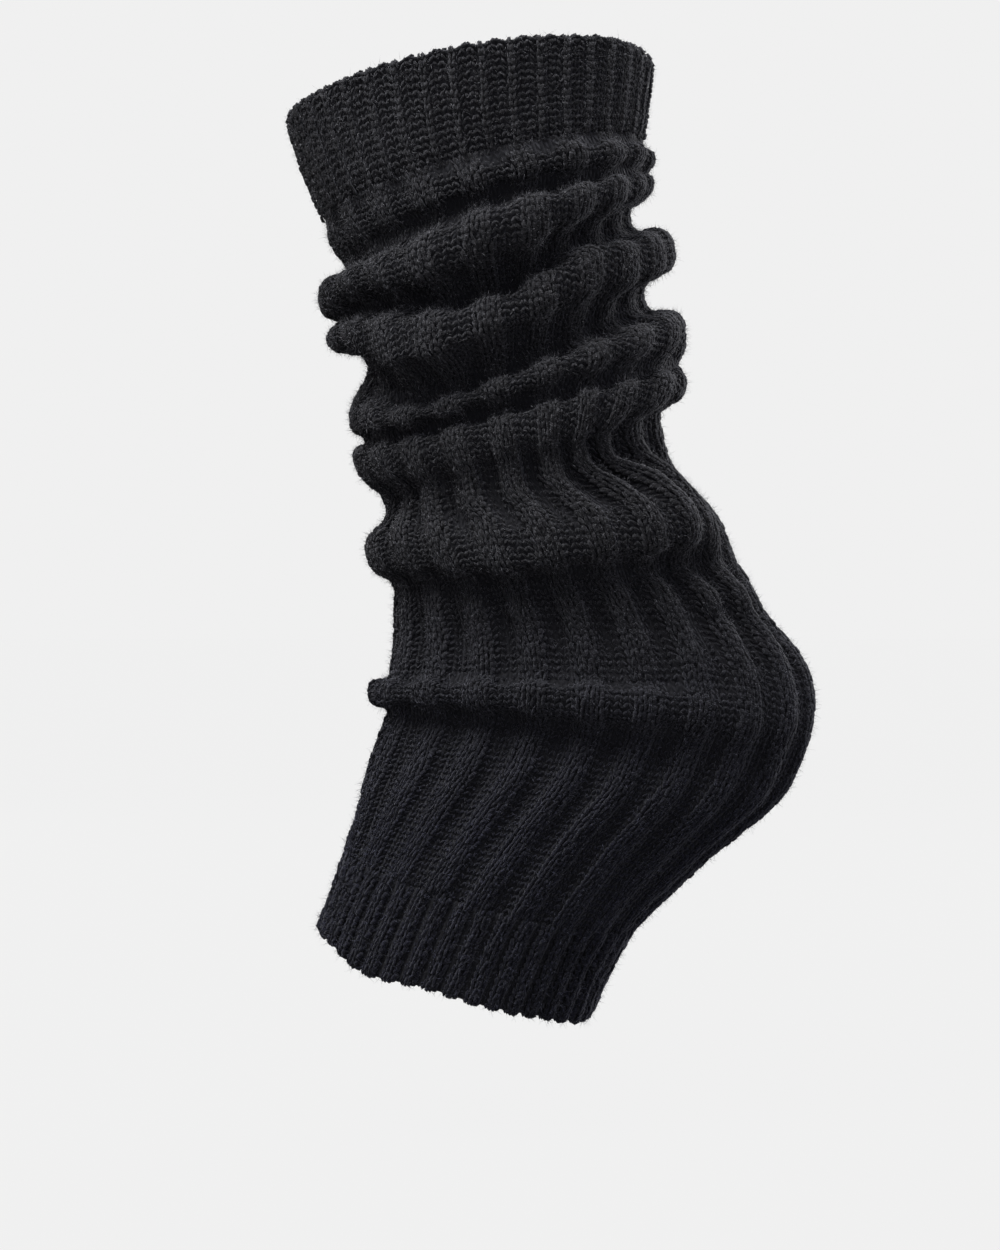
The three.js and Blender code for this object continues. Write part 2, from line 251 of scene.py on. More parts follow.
@dataclass
class Sleeve:
    """The folded surface of the garment, before its ribs: a plain sleeve of oval rings, pushed into folds."""

    rounding: float = 0.15
    steep: float = 0.75
    oval_range: Pair = (0.7, 1.9)
    uneven_height: tuple[float, int, float] = (0.1, 3, 2.4)
    uneven_run: tuple[float, int, float] = (0.8, 2, 1.7)
    columns: Array = field(init=False)
    stations: Array = field(init=False)
    slopes: Array = field(init=False)
    lines: list[str] = field(init=False)
    fold_down: Array = field(init=False)
    fold_out: Array = field(init=False)
    oval_ratios: Array = field(init=False)
    oval_angles: Array = field(init=False)

    def __post_init__(self) -> None:
        """Measures the sleeve's length at each ring and prepares the curves through them."""
        self.columns = np.array([[r.front_x, r.front_z, r.back_x, r.back_z, r.depth, r.rise] for r in RINGS])
        middle = (self.columns[:, 0:2] + self.columns[:, 2:4]) / 2
        steps = np.hypot(*np.diff(middle, axis=0).T)
        self.stations = np.concatenate([[0.0], np.cumsum(steps)])
        last = len(RINGS) - 1
        low, high = np.maximum(np.arange(last + 1) - 1, 0), np.minimum(np.arange(last + 1) + 1, last)
        spans = (self.stations[high] - self.stations[low])[:, None]
        self.slopes = (self.columns[high] - self.columns[low]) / spans
        folds = [*FOLDS, self.level("foot cuff head"), self.level("foot rim", FOOT_RIM_DIP)]
        self.lines = [f.name for f in folds]
        self.fold_down = np.array([f.down for f in folds])
        self.fold_out = np.array([f.out for f in folds])
        self.measure_ovals()

    def level(self, ring: str, dip: float = 0.0) -> Fold:
        """A line round the sleeve at a ring, with no fold, that runs higher on the near and far sides."""
        down = float(self.stations[[r.name for r in RINGS].index(ring)])
        return Fold(ring, (down, down - dip, down, down - dip))

    @property
    def last_line(self) -> int:
        """The number of the line at the foot rim."""
        return len(self.fold_down) - 1

    def measure_ovals(self, ratios: int = 48, steps: int = 720) -> None:
        """Tables the angle at each share of an oval's girth, for ovals of different widths to their depth."""
        self.oval_ratios = np.linspace(*self.oval_range, ratios)
        angle = (np.arange(steps) + 0.5) / steps * TURN
        shares = np.linspace(0, 1, steps + 1)
        rows = []
        for ratio in self.oval_ratios:
            girth = np.concatenate([[0], np.cumsum(np.hypot(ratio * np.sin(angle), np.cos(angle)))])
            rows.append(np.interp(shares * girth[-1], girth, np.linspace(0, TURN, steps + 1)))
        self.oval_angles = np.array(rows)

    def angle_on_oval(self, share: Array, ratio: Array) -> Array:
        """The angle at a share of an oval's girth, so that stitches are evenly wide round it."""
        turns = np.floor(share)
        column = (share - turns) * (self.oval_angles.shape[1] - 1)
        row = np.interp(ratio, self.oval_ratios, np.arange(len(self.oval_ratios)))
        i = np.minimum(row.astype(int), len(self.oval_ratios) - 2)
        j = np.minimum(column.astype(int), self.oval_angles.shape[1] - 2)
        s, t = row - i, column - j
        table = self.oval_angles
        upper = table[i, j] * (1 - t) + table[i, j + 1] * t
        lower = table[i + 1, j] * (1 - t) + table[i + 1, j + 1] * t
        return upper * (1 - s) + lower * s + turns * TURN

    def ring_at(self, down: Array) -> Array:
        """The ring's columns at distances down the sleeve, on smooth curves through the rings."""
        i = np.clip(np.searchsorted(self.stations, down, side="right") - 1, 0, len(self.stations) - 2)
        step = (self.stations[i + 1] - self.stations[i])[..., None]
        t = (down[..., None] - self.stations[i][..., None]) / step
        t2, t3 = t * t, t * t * t
        return (
            (2 * t3 - 3 * t2 + 1) * self.columns[i]
            + (t3 - 2 * t2 + t) * step * self.slopes[i]
            + (3 * t2 - 2 * t3) * self.columns[i + 1]
            + (t3 - t2) * step * self.slopes[i + 1]
        )

    def plain_point(self, share: Array, down: Array, out: Array) -> Array:
        """Points of the plain sleeve, moved out from it, in millimetres."""
        front_x, front_z, back_x, back_z, depth, rise = np.moveaxis(self.ring_at(down), -1, 0)
        width = np.hypot(back_x - front_x, back_z - front_z)
        across_x, across_z = (back_x - front_x) / width, (back_z - front_z) / width
        angle = self.angle_on_oval(share, width / depth)
        c, s = np.cos(angle), np.sin(angle)
        out_c, out_s = c / width, s / depth
        length = np.hypot(out_c, out_s)
        along = width / 2 * c + out * out_c / length
        up = rise * s * s
        x = (front_x + back_x) / 2 + across_x * along - across_z * up
        z = (front_z + back_z) / 2 + across_z * along + across_x * up
        y = -(depth / 2) * s - out * out_s / length
        return np.stack([x, y, z], -1)

    def line_at(self, k: Array, share: Array) -> tuple[Array, Array]:
        """A fold line's place down the sleeve and its height, both a little uneven as knitted folds are."""
        height = quarter_curve(self.fold_out[k], share)
        amount, waves, phase = self.uneven_run
        drift = np.minimum(height, 1) * amount * np.sin(waves * TURN * share + phase * k)
        swing_amount, swing_waves, swing_phase = self.uneven_height
        swing = swing_amount * np.sin(swing_waves * TURN * share + swing_phase * k)
        down, out = quarter_curve(self.fold_down[k], share) + drift, height * (1 + swing)
        for sag in SAGS:
            there = (k == self.lines.index(sag.line)) * np.exp(-((aside(share, sag.round) / sag.wide) ** 2))
            down, out = down + sag.down * there, out + sag.out * there
        return down, out

    def swell_at(self, share: Array, down: Array) -> Array:
        """How far the single bulges and dents stand out at places on the sleeve, less the furrows."""
        out = sum(swell.at(share, down) for swell in SWELLS)
        for crease in CREASES:
            line = self.line_at(np.full(share.shape, self.lines.index(crease.line)), share)[0]
            depth = quarter_curve(np.array(crease.depth), share)
            out -= depth * np.exp(-(((down - line) / crease.half_width) ** 2))
        return out

    def nominal_down(self, share: Array, along: Array) -> Array:
        """How far down the sleeve places between the fold lines are, in millimetres."""
        i = np.clip(np.floor(along).astype(int), 0, self.last_line - 1)
        above, below = self.line_at(i, share)[0], self.line_at(i + 1, share)[0]
        return above + (below - above) * (along - i)

    def pulled(self, share: Array, along: Array) -> Array:
        """The share round the tube where a wale lies once the cloth is pulled sideways."""
        down = self.nominal_down(share, along)
        return share + sum(pull.at(share, down) for pull in PULLS) / 360

    def point(self, share: Array, along: Array) -> Array:
        """Points of the folded surface in millimetres; along counts the fold lines from the calf rim."""
        share = self.pulled(share, along)
        i = np.clip(np.floor(along).astype(int), 0, self.last_line - 1)
        t = along - i
        above_down, above_out = self.line_at(i, share)
        below_down, below_out = self.line_at(i + 1, share)
        span = below_down - above_down
        steep = np.minimum(np.abs(below_out - above_out) / (span * self.steep), 1)
        down = above_down + span * (t + self.rounding * steep * np.sin(TURN * t))
        out = above_out + (below_out - above_out) * (1 - np.cos(math.pi * t)) / 2
        return self.plain_point(share, down, out + self.swell_at(share, above_down + span * t))


class Loop(Enum):
    """How a stitch shows on the outside."""

    KNIT = "knit"
    LINE = "knit, drawn into a thin line"
    PURL = "purl"


@dataclass(frozen=True)
class Rib:
    """The rib of one piece: how each wale of the pattern shows, how high it stands, in millimetres, and how
    full its strands and how thick its fuzz are beside those of the body."""

    name: str
    loops: tuple[Loop, ...]
    heights: tuple[float, ...]
    fullness: float = 1.0
    fuzz: float = 1.0


K, L, P = Loop.KNIT, Loop.LINE, Loop.PURL
CALF_RIB = Rib("fine rib with thin lines", (P, L, P) * 2, (0.6, 0.85, 0.6) * 2, fullness=1.1, fuzz=1.7)
BODY_RIB = Rib("wide rib", (K, K, K, P, P, P), (1.1, 1.45, 1.1, -0.3, -0.8, -0.3))
FOOT_RIB = Rib("fine rib with knit pairs", (K, P, K) * 2, (1.15, -2.1, 1.15) * 2, fuzz=1.3)


GATHERS = (
    Spot("under the twin rolls", 121, 40, 10, 34, 3.0),
    Spot("twin rolls", 98, 70, 10, 60, -0.35),
    Spot("heel", 178, 20, 24, 50, 0.5),
    Spot("under the far twin rolls", 119, 322, 12, 38, 2.2),
    Spot("front of the ankle bag", 126, 105, 12, 52, 2.0),
    Spot("lower edge of the ankle bag", 148, 80, 8, 75, -0.6),
    Spot("over the instep", 167, 90, 12, 95, 1.6),
    Spot("instep roll", 190, 90, 8, 95, -0.8),
    Spot("over the far instep", 166, 270, 16, 95, 1.0),
    Spot("foot", 216, 90, 18, 100, 0.6),
    Spot("far foot", 216, 270, 18, 100, 0.6),
)


@dataclass(frozen=True)
class Knitted:
    """One knitted piece: its node, its stretch of fold lines, its courses and its rib."""

    node: str
    first_line: int
    last_line: int
    courses: int
    rib: Rib


@dataclass
class Fabric:
    """The knitted fabric as a grid of points on the folded surface, ribs included, that strands are laid on.

    Places on it are counted in wales round the tube from the back, and in courses down from the calf rim.
    Before the calf rim and past the foot rim it turns over the edge and runs on inside.
    """

    sleeve: Sleeve
    pieces: tuple[Knitted, ...]
    lining_lift: float = 0.3
    turn_courses: int = 2
    inner_courses: int = 12
    hem_reach: float = 0.75
    scallop: float = 1.3
    rolled: tuple[float, float, float] = (16.0, 84.0, 0.7)
    rolled_blend: float = 8.0
    unevenness: float = 0.3
    waves: int = 9
    wavelengths: Pair = (14, 38)
    wave_seed: int = 11
    line_steps: int = 24
    lining_depth: float = 2.3
    settle: float = 0.7
    points: Array = field(init=False)
    normals: Array = field(init=False)
    lining: Array = field(init=False)
    mean_course: dict[str, float] = field(default_factory=dict)

    def __post_init__(self) -> None:
        """Works out the grid."""
        share = np.arange(WALES * GRID_STEPS) / (WALES * GRID_STEPS)
        rows = self.course_rows(share)
        points, normals, down = self.framed(share, rows)
        self.lining = points - normals * self.lining_depth
        relief = self.relief() * (1 + self.gathered(share, rows)) - self.settle
        lifted = points + normals * (relief + self.waviness(points))[..., None]
        self.points = self.turned_over(lifted, normals, down)
        self.normals = self.normals_of(self.points)

    @property
    def total_courses(self) -> int:
        """Courses from rim to rim."""
        return sum(piece.courses for piece in self.pieces)

    @property
    def margin(self) -> int:
        """Courses of the grid past each rim."""
        return self.turn_courses + self.inner_courses

    def course_rows(self, share: Array) -> Array:
        """Where each row of the grid lies along the fold lines, with the courses even along the cloth."""
        fine = np.linspace(0, self.sleeve.last_line, self.sleeve.last_line * self.line_steps + 1)
        grid = self.sleeve.point(*np.broadcast_arrays(share[None, :], fine[:, None]))
        paces = np.linalg.norm(np.diff(grid, axis=0), axis=-1)
        lengths = np.concatenate([np.zeros((1, len(share))), np.cumsum(paces, 0)])
        blocks = []
        for number, piece in enumerate(self.pieces):
            start = lengths[piece.first_line * self.line_steps].copy()
            end = lengths[piece.last_line * self.line_steps]
            if number == 0:
                start = start + self.scallop * self.knit_lines(share)
            self.mean_course[piece.node] = float(((end - start) / piece.courses).mean())
            steps = np.arange(piece.courses * GRID_STEPS + (number == len(self.pieces) - 1))
            blocks.append(start + (end - start) * (steps / (piece.courses * GRID_STEPS))[:, None])
        wanted = np.concatenate(blocks)
        return np.stack([np.interp(wanted[:, c], lengths[:, c], fine) for c in range(len(share))], 1)

    def knit_lines(self, share: Array) -> Array:
        """1 on the calf cuff's knit lines, where its rim dips, and 0 half way between them."""
        return np.cos((share * WALES - LINE_MIDDLE) / (PATTERN_WALES / 2) * TURN) / 2 + 0.5

    def framed(self, share: Array, rows: Array) -> tuple[Array, Array, Array]:
        """Points, outward normals and downward directions of the folded surface at the grid's rows."""
        points = self.sleeve.point(np.broadcast_to(share, rows.shape), rows)
        return points, self.normals_of(points), unit(np.gradient(points, axis=0))

    @staticmethod
    def normals_of(points: Array) -> Array:
        """Outward normals of a grid of points that closes round the tube."""
        sideways = np.roll(points, -1, 1) - np.roll(points, 1, 1)
        return unit(np.cross(sideways, np.gradient(points, axis=0)))

    def relief(self, blend: float = 3.0) -> Array:
        """How high the ribs stand at each point of the grid, one piece's rib blending into the next's."""
        wale = np.arange(WALES * GRID_STEPS) / GRID_STEPS - 0.5
        low = np.floor(wale).astype(int)
        t = wale - low
        ease = t * t * (3 - 2 * t)
        course = np.arange(self.total_courses * GRID_STEPS + 1) / GRID_STEPS
        heights = np.zeros((len(course), len(wale)))
        start = 0
        for number, piece in enumerate(self.pieces):
            values = np.array(piece.rib.heights)
            across = values[low % PATTERN_WALES] * (1 - ease) + values[(low + 1) % PATTERN_WALES] * ease
            into = np.ones(len(course)) if number == 0 else np.clip((course - start) / blend + 0.5, 0, 1)
            heights = heights * (1 - into)[:, None] + across * into[:, None]
            start += piece.courses
        first, last, least = self.rolled
        eased = np.clip(np.minimum(course - first, last - course) / self.rolled_blend + 0.5, 0, 1)[:, None]
        return heights * (1 - eased * (1 - least))

    def gathered(self, share: Array, rows: Array) -> Array:
        """How much higher the ribs stand where the cloth is drawn together."""
        share = np.broadcast_to(share, rows.shape)
        down = self.sleeve.nominal_down(share, rows)
        return sum(gather.at(share, down) for gather in GATHERS)

    def waviness(self, points: Array) -> Array:
        """Slow unevenness of soft cloth, from a few waves that cross each other."""
        rng = np.random.default_rng(self.wave_seed)
        total = np.zeros(points.shape[:2])
        for _ in range(self.waves):
            direction = rng.normal(size=3)
            direction *= TURN / rng.uniform(*self.wavelengths) / np.linalg.norm(direction)
            total += np.sin(points @ direction + rng.uniform(0, TURN))
        return total * self.unevenness / math.sqrt(self.waves)

    def turned_over(self, lifted: Array, normals: Array, down: Array) -> Array:
        """Adds the rows that turn over both rims and run on inside.

        Args:
            lifted: the outside's points, ribs included.
            normals: the outward normals under the ribs.
            down: directions down the cloth.

        Returns:
            The whole grid's points, from inside the calf rim to inside the foot rim.
        """
        inside = self.lining + normals * self.lining_lift
        turn_rows, inner_rows = self.turn_courses * GRID_STEPS, self.inner_courses * GRID_STEPS
        ends = []
        for rim, step in ((0, 1), (-1, -1)):
            middle = (lifted[rim] + inside[rim]) / 2
            outward = (lifted[rim] - inside[rim]) / 2
            away = -down[rim] * step * self.hem_reach * np.linalg.norm(outward, axis=-1, keepdims=True)
            angles = np.arange(1, turn_rows + 1) / (turn_rows + 1) * math.pi
            turned = middle + outward * np.cos(angles)[:, None, None] + away * np.sin(angles)[:, None, None]
            inner = inside[0:inner_rows] if step == 1 else inside[-1:-inner_rows - 1:-1]
            ends.append(np.concatenate([turned, inner]))
        return np.concatenate([ends[0][::-1], lifted, ends[1]])

    def at(self, wale: Array, course: Array, height: Array) -> Array:
        """Points in metres, so many wales round from the back, courses down from the calf rim and millimetres
        out from the fabric."""
        row = (course + self.margin) * GRID_STEPS
        outward = self.sampled(self.normals, wale, row)
        return (self.sampled(self.points, wale, row) + outward * height[..., None]) * MM

    def lining_at(self, wale: Array, course: Array) -> Array:
        """Points on the plain inside of the cloth, in metres."""
        return self.sampled(self.lining, wale, course * GRID_STEPS) * MM

    @staticmethod
    def sampled(grid: Array, wale: Array, row: Array) -> Array:
        """Values of a grid between its points, which closes round the tube."""
        column = wale * GRID_STEPS
        row = np.clip(row, 0, len(grid) - LAST_ROW)
        i, j = np.floor(row).astype(int), np.floor(column).astype(int)
        s, t = (row - i)[..., None], (column - j)[..., None]
        j, k = j % grid.shape[1], (j + 1) % grid.shape[1]
        upper = grid[i, j] * (1 - t) + grid[i, k] * t
        lower = grid[i + 1, j] * (1 - t) + grid[i + 1, k] * t
        return upper * (1 - s) + lower * s


@dataclass
class Template:
    """A small closed mesh that is repeated many times, with a place for each corner on a strand's own strip.

    Its x runs along the strand from -1 to 1, its y to the side and its z outwards.
    """

    corners: Array
    loops: Array
    starts: Array
    strip: Array

    @classmethod
    def from_bmesh(cls, bm: bmesh.types.BMesh) -> "Template":
        """Reads a bmesh that lies along x, unrolls it round that axis, and frees it."""
        bmesh.ops.recalc_face_normals(bm, faces=bm.faces)
        bm.verts.ensure_lookup_table()
        corners = np.array([v.co for v in bm.verts])
        loops, starts, strip = [], [], []
        for face in bm.faces:
            starts.append(len(loops))
            turned = []
            for corner in face.verts:
                radius = math.hypot(corner.co.y, corner.co.z)
                turned.append(None if radius < ON_AXIS else math.atan2(corner.co.y, corner.co.z) / TURN % 1)
            known = [v for v in turned if v is not None]
            if known and max(known) - min(known) > 0.5:
                turned = [v + 1 if v is not None and v < 0.5 else v for v in turned]
                known = [v for v in turned if v is not None]
            middle = sum(known) / len(known) if known else 0.5
            for corner, around in zip(face.verts, turned):
                loops.append(corner.index)
                strip.append(((corner.co.x + 1) / 2, (middle if around is None else around) / STRIP_TURNS))
        bm.free()
        return cls(corners, np.array(loops), np.array(starts), np.array(strip))


def strand_template(shoulder: float = 0.42) -> Template:
    """A spindle of yarn with a three-cornered section, flat below.

    Args:
        shoulder: how far from its middle it starts to narrow towards each tip.

    Returns:
        The template.
    """
    bm = bmesh.new()
    for vert in bmesh.ops.create_circle(bm, segments=3, radius=1.0)["verts"]:
        angle = math.atan2(vert.co.y, vert.co.x)
        vert.co = (-shoulder, math.sin(angle), math.cos(angle))
    edges = list(bm.edges)
    tip = bm.verts.new((-1, 0, 0))
    for edge in edges:
        bm.faces.new((*edge.verts, tip))
    grown = bmesh.ops.extrude_edge_only(bm, edges=edges)["geom"]
    ring = [item for item in grown if isinstance(item, bmesh.types.BMVert)]
    for vert in ring:
        vert.co.x = shoulder
    end = bm.verts.new((1, 0, 0))
    for item in grown:
        if isinstance(item, bmesh.types.BMEdge) and all(vert in ring for vert in item.verts):
            bm.faces.new((*item.verts, end))
    bm.verts.index_update()
    return Template.from_bmesh(bm)


def fibre_template() -> Template:
    """One straight fibre: a three-sided spike."""
    bm = bmesh.new()
    bmesh.ops.create_cone(bm, cap_ends=True, segments=3, radius1=1.0, radius2=0.0, depth=2.0)
    for vert in bm.verts:
        vert.co = (vert.co.z, vert.co.x, vert.co.y)
    bm.verts.index_update()
    return Template.from_bmesh(bm)


@dataclass(frozen=True)
class Strand:
    """One visible strand of a stitch: its path from start through middle to end, as wale, course and
    millimetres out from the stitch's own place, and its half width and height in millimetres."""

    name: str
    start: Point
    middle: Point
    end: Point
    half_width: float
    height: float

    def mirrored(self) -> "Strand":
        """The same strand on the other side of the wale."""
        ends = [(-x, y, z) for x, y, z in (self.start, self.middle, self.end)]
        return Strand(self.name, *ends, self.half_width, self.height)


KNIT_LEG = Strand(
    "leg of a knit stitch", (-0.1, 0.86, -0.15), (-0.26, 0.04, 0.25), (-0.36, -0.8, -0.05), 0.62, 0.46
)
LINE_LEG = Strand(
    "leg in a thin line", (-0.04, 0.74, 0.5), (-0.16, 0.05, 1.15), (-0.22, -0.7, 0.6), 0.44, 0.5
)
PURL_DASH = Strand(
    "slanted half of a purl", (-0.52, 0.42, -0.15), (-0.27, 0.0, 0.22), (-0.02, -0.42, -0.15), 0.5, 0.42
)
STRANDS = {
    Loop.KNIT: (KNIT_LEG, KNIT_LEG.mirrored()),
    Loop.LINE: (LINE_LEG, LINE_LEG.mirrored()),
    Loop.PURL: (PURL_DASH, PURL_DASH.mirrored()),
}


Output = tuple[Node, object]  # a node and the name or number of one of its outputs


class Nodes:
    """The node tree of a material or of the world, with short ways to add and link its nodes."""

    def __init__(self, owner: Material | bpy.types.World, output: str = "ShaderNodeOutputMaterial") -> None:
        """Empties the owner's node tree, down to its output."""
        self.owner = owner
        owner.use_nodes = True
        self.tree = owner.node_tree
        self.tree.nodes.clear()
        self.output = self.tree.nodes.new(output)

    def add(self, kind: str, **values: object) -> Node:
        """Adds a node.

        Args:
            kind: Blender's name of the node's type.
            values: attributes in lower case and sockets by their name, with _ for a space.

        Returns:
            The node.
        """
        node = self.tree.nodes.new(kind)
        for name, value in values.items():
            if name[0].islower():
                setattr(node, name, value)
            else:
                node.inputs[name.replace("_", " ")].default_value = value
        return node

    def link(self, source: Node, out: object, target: Node, into: object) -> None:
        """Links one node's output to another's input, each by name or number."""
        self.tree.links.new(source.outputs[out], target.inputs[into])

    def noise(self, place: Node, scale: float, detail: float, rough: float = 0.5) -> Node:
        """Adds a noise that keeps its place on the garment."""
        node = self.add("ShaderNodeTexNoise", Scale=scale, Detail=detail, Roughness=rough)
        self.link(place, "Object", node, "Vector")
        return node

    def ranged(self, source: Output, limits: Pair, top: float = 1.0) -> Node:
        """Adds a Map Range, which turns values between two limits into 0 to its top."""
        node = self.add("ShaderNodeMapRange", From_Min=limits[0], From_Max=limits[1], To_Min=0.0, To_Max=top)
        self.link(*source, node, "Value")
        return node

    def math(self, operation: str, *terms: float | Output) -> Node:
        """Adds a Math node on numbers and outputs of other nodes."""
        node = self.add("ShaderNodeMath", operation=operation)
        for number, term in enumerate(terms):
            if isinstance(term, tuple):
                self.link(*term, node, number)
            else:
                node.inputs[number].default_value = term
        return node

    def bump(self, height: Output, strength: float, distance: float,
             under: Node | None = None) -> Node:
        """Adds relief of a share and a depth in metres, on top of other relief if there is any."""
        node = self.add("ShaderNodeBump", Strength=strength, Distance=distance)
        self.link(*height, node, "Height")
        if under:
            self.link(under, "Normal", node, "Normal")
        return node

    def blend(self, factor: Output, dark: Colour | Output, light: Colour | Output) -> Output:
        """Adds a mix of two colours.

        Args:
            factor: how much of the light one shows.
            dark: the first colour, plain or from another mix.
            light: the second colour.

        Returns:
            The mixed colour.
        """
        node = self.add("ShaderNodeMix", data_type="RGBA")
        self.link(*factor, node, "Factor")
        for socket, colour in ((6, dark), (7, light)):
            if isinstance(colour[0], float):
                node.inputs[socket].default_value = (*colour, 1)
            else:
                self.link(*colour, node, socket)
        return node, 2

    def painted_foot_shade(self, upper: Output, lower: Output, place: Node,
              heights: Pair = (-0.13, -0.21)) -> Output:
        """Adds a mix that fades from one colour to another between two heights in metres: painted shade that
        darkens the lower part of the garment and tints it bluer.
        """
        # painted shade: below these heights the colours turn to the darker, bluer ones of the foot
        parts = self.add("ShaderNodeSeparateXYZ")
        self.link(place, "Object", parts, "Vector")
        return self.blend((self.ranged((parts, "Z"), heights), "Result"), upper, lower)


@dataclass(frozen=True)
class ClothFinish:
    """What the finishes of the garment share: a name, two colours, and how their surface takes light."""

    name: str
    dark: Colour
    light: Colour
    roughness: float
    specular: float
    sheen: float
    sheen_roughness: float
    sheen_tint: Colour

    def shade(self, nodes: Nodes, colour: Output, relief: Node | None = None) -> Material:
        """Adds the shader with its colour and relief, and gives the finished material."""
        shader = nodes.add(
            "ShaderNodeBsdfPrincipled", Metallic=0.0, Roughness=self.roughness,
            Specular_IOR_Level=self.specular, Sheen_Weight=self.sheen,
            Sheen_Roughness=self.sheen_roughness, Sheen_Tint=(*self.sheen_tint, 1),
        )
        nodes.link(*colour, shader, "Base Color")
        if relief:
            nodes.link(relief, "Normal", shader, "Normal")
        nodes.link(shader, "BSDF", nodes.output, "Surface")
        return nodes.owner


@dataclass(frozen=True)
class YarnFinish(ClothFinish):
    """Black brushed yarn: matt, with a soft sheen at its edges; its paler fibres are painted glints, and it
    turns darker and bluer towards the foot as painted shade.
    """

    name: str = "black_yarn"
    dark: Colour = (0.0098, 0.0096, 0.0104)
    # light: the colour of painted glints on single fibres, and in small part of the yarn's random tone
    light: Colour = (0.108, 0.107, 0.117)
    # painted shade: the darker, bluer colours the yarn fades to towards the foot, where less light falls
    painted_shade_foot_dark: Colour = (0.0044, 0.0046, 0.0076)
    painted_shade_foot_light: Colour = (0.046, 0.047, 0.077)
    roughness: float = 0.92
    specular: float = 0.22
    sheen: float = 0.28
    sheen_roughness: float = 0.45
    sheen_tint: Colour = (0.5, 0.51, 0.58)
    fibre_scale: float = 2300.0
    fibre_detail: float = 3.0
    fibre_rough: float = 0.65
    fibre_relief: Pair = (0.8, 0.00025)
    # painted glints: where the fine noise is this high, a fibre is painted pale as if it caught the light
    glint_range: Pair = (0.54, 0.66)
    glint_share: float = 0.85
    dye_scale: float = 55.0
    dye_detail: float = 2.0
    dye_range: Pair = (0.3, 0.7)
    dye_share: float = 0.13
    ply_twists: float = 2.5
    ply_slant: float = 38.0
    ply_scale: float = 1.1
    ply_distortion: float = 2.2
    ply_detail: Pair = (2.0, 2.5)
    ply_relief: Pair = (0.35, 0.0004)

    def make(self) -> Material:
        """Builds the material, with its ply along each strand's own strip and its fibres fixed on the
        garment.
        """
        nodes = Nodes(bpy.data.materials.new(self.name))
        strip = nodes.add("ShaderNodeUVMap", uv_map="Strip")
        place = nodes.add("ShaderNodeTexCoord")
        fibres = nodes.noise(place, self.fibre_scale, self.fibre_detail, self.fibre_rough)
        dye = nodes.noise(place, self.dye_scale, self.dye_detail)
        # painted glints: pale specks of fibres that catch the light
        glints = nodes.ranged((fibres, "Fac"), self.glint_range)
        tone = nodes.ranged((dye, "Fac"), self.dye_range, self.dye_share)
        amount = nodes.math("MULTIPLY_ADD", (glints, "Result"), self.glint_share, (tone, "Result"))
        amount.use_clamp = True
        upper = nodes.blend((amount, "Value"), self.dark, self.light)
        # painted shade: the yarn's colours at the foot
        lower = nodes.blend((amount, "Value"), self.painted_shade_foot_dark, self.painted_shade_foot_light)
        twist = nodes.add("ShaderNodeMapping", Scale=(self.ply_twists, 1.0, 1.0),
                          Rotation=(0, 0, math.radians(self.ply_slant)))
        nodes.link(strip, "UV", twist, "Vector")
        ply = nodes.add("ShaderNodeTexWave", Scale=self.ply_scale, Distortion=self.ply_distortion,
                        Detail=self.ply_detail[0], Detail_Scale=self.ply_detail[1])
        nodes.link(twist, "Vector", ply, "Vector")
        plies = nodes.bump((ply, "Fac"), *self.ply_relief)
        fine = nodes.bump((fibres, "Fac"), *self.fibre_relief, plies)
        return self.shade(nodes, nodes.painted_foot_shade(upper, lower, place), fine)


@dataclass(frozen=True)
class GroundFinish(ClothFinish):
    """The cloth under and behind the strands: the same yarn, but painted darker as the shade in the gaps
    between strands, with the stitches of its inside as relief.
    """

    name: str = "black_knit_ground"
    # painted shade: darker than the yarn's own colours, for the shaded gaps between the strands
    dark: Colour = (0.007, 0.007, 0.0085)
    light: Colour = (0.024, 0.024, 0.028)
    roughness: float = 0.95
    specular: float = 0.18
    sheen: float = 0.2
    sheen_roughness: float = 0.5
    sheen_tint: Colour = (0.5, 0.51, 0.58)
    loop_slant: float = 1.3
    loop_share: float = 0.5
    loop_relief: Pair = (0.7, 0.0007)
    fibre_scale: float = 2600.0
    fibre_detail: float = 3.0
    fibre_rough: float = 0.65
    fibre_relief: Pair = (0.5, 0.00025)

    def make(self) -> Material:
        """Builds the material: rows of small loops that follow the wales and courses of the piece."""
        nodes = Nodes(bpy.data.materials.new(self.name))
        cloth = nodes.add("ShaderNodeUVMap", uv_map="Cloth")
        place = nodes.add("ShaderNodeTexCoord")
        parts = nodes.add("ShaderNodeSeparateXYZ")
        nodes.link(cloth, "UV", parts, "Vector")
        across = nodes.math("PINGPONG", (parts, "X"), 0.5)
        slant = nodes.math("MULTIPLY_ADD", (across, "Value"), self.loop_slant, (parts, "Y"))
        rows = nodes.math("SINE", (nodes.math("MULTIPLY", (slant, "Value"), TURN), "Value"))
        grooves = nodes.math("SINE", (nodes.math("MULTIPLY", (across, "Value"), TURN), "Value"))
        loops = nodes.math("MULTIPLY_ADD", (rows, "Value"), self.loop_share, (grooves, "Value"))
        fibres = nodes.noise(place, self.fibre_scale, self.fibre_detail, self.fibre_rough)
        coarse = nodes.bump((loops, "Value"), *self.loop_relief)
        fine = nodes.bump((fibres, "Fac"), *self.fibre_relief, coarse)
        return self.shade(nodes, nodes.blend((fibres, "Fac"), self.dark, self.light), fine)


